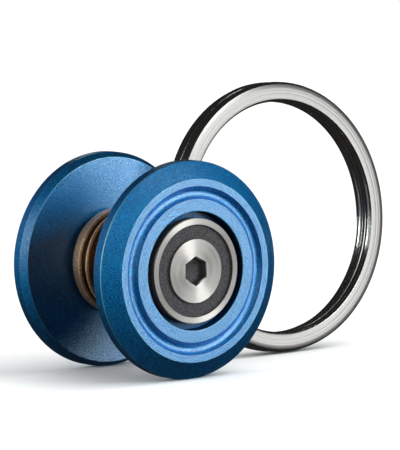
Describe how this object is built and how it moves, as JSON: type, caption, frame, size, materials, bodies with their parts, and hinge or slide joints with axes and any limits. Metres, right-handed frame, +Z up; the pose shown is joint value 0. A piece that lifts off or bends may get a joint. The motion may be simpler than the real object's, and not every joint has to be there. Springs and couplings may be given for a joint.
{
  "type": "magnetic orbiter fidget toy",
  "caption": "Flanged spool on a ribbed copper hub with finger caps on ball bearings, and a loose steel ring that rolls round the hub by magnet.",
  "frame": {"origin": "middle of the bounding box's base, on the table that the flange rims and the ring stand on", "axes": "+Y along the spool's axis towards the rear flange, +X from the spool towards the loose ring, +Z up"},
  "size_m": [0.0908, 0.035, 0.0577],
  "materials": {
    "anodised_blue": "bead-blasted, blue anodised",
    "aged_copper": "tumbled, lightly tarnished copper",
    "turned_steel": "fine turned faces round a dark blasted recess",
    "ring_steel": "polished with fine turned lines",
    "bearing_steel": "ground and polished",
    "spindle_steel": "turned",
    "magnet_plating": "nickel plated",
    "cage_brass": "pressed, satin"
  },
  "bodies": {
    "spool": {"hub_sleeve": "aged_copper", "pole_washer": "bearing_steel", "rear_flange": "anodised_blue", "rear_magnet": "magnet_plating", "rear_outer_race": "bearing_steel", "front_flange": "anodised_blue", "front_magnet": "magnet_plating", "front_outer_race": "bearing_steel"},
    "spindle": {"front_cap": "turned_steel", "rear_cap": "turned_steel", "axle_tube": "spindle_steel", "spacer_tube": "spindle_steel", "front_inner_race": "bearing_steel", "rear_inner_race": "bearing_steel"},
    "front_ball_set": {"front_cage": "cage_brass", "front_ball_01": "bearing_steel", "front_ball_02": "bearing_steel", "front_ball_03": "bearing_steel", "front_ball_04": "bearing_steel", "front_ball_05": "bearing_steel", "front_ball_06": "bearing_steel", "front_ball_07": "bearing_steel", "front_ball_08": "bearing_steel", "front_ball_09": "bearing_steel", "front_ball_10": "bearing_steel"},
    "rear_ball_set": {"rear_cage": "cage_brass", "rear_ball_01": "bearing_steel", "rear_ball_02": "bearing_steel", "rear_ball_03": "bearing_steel", "rear_ball_04": "bearing_steel", "rear_ball_05": "bearing_steel", "rear_ball_06": "bearing_steel", "rear_ball_07": "bearing_steel", "rear_ball_08": "bearing_steel", "rear_ball_09": "bearing_steel", "rear_ball_10": "bearing_steel"},
    "ring": {"orbit_ring": "ring_steel"}
  },
  "joints": [
    {"name": "cap_spin", "type": "hinge", "parent": "spool", "child": "spindle", "pos_m": [-0.02292, 0, 0.0225], "axis": [0, 1, 0], "continuous": true},
    {"name": "front_balls_roll", "type": "hinge", "parent": "spool", "child": "front_ball_set", "pos_m": [-0.02292, 0, 0.0225], "axis": [0, 1, 0], "continuous": true},
    {"name": "rear_balls_roll", "type": "hinge", "parent": "spool", "child": "rear_ball_set", "pos_m": [-0.02292, 0, 0.0225], "axis": [0, 1, 0], "continuous": true},
    {"name": "ring_orbit", "type": "hinge", "parent": "spool", "child": "ring", "pos_m": [-0.02292, 0, 0.0225], "axis": [0, 1, 0], "continuous": true}
  ],
  "couplings": [
    {"joint": "front_balls_roll", "follows": "cap_spin", "ratio": 0.4166},
    {"joint": "rear_balls_roll", "follows": "cap_spin", "ratio": 0.4166}
  ]
}
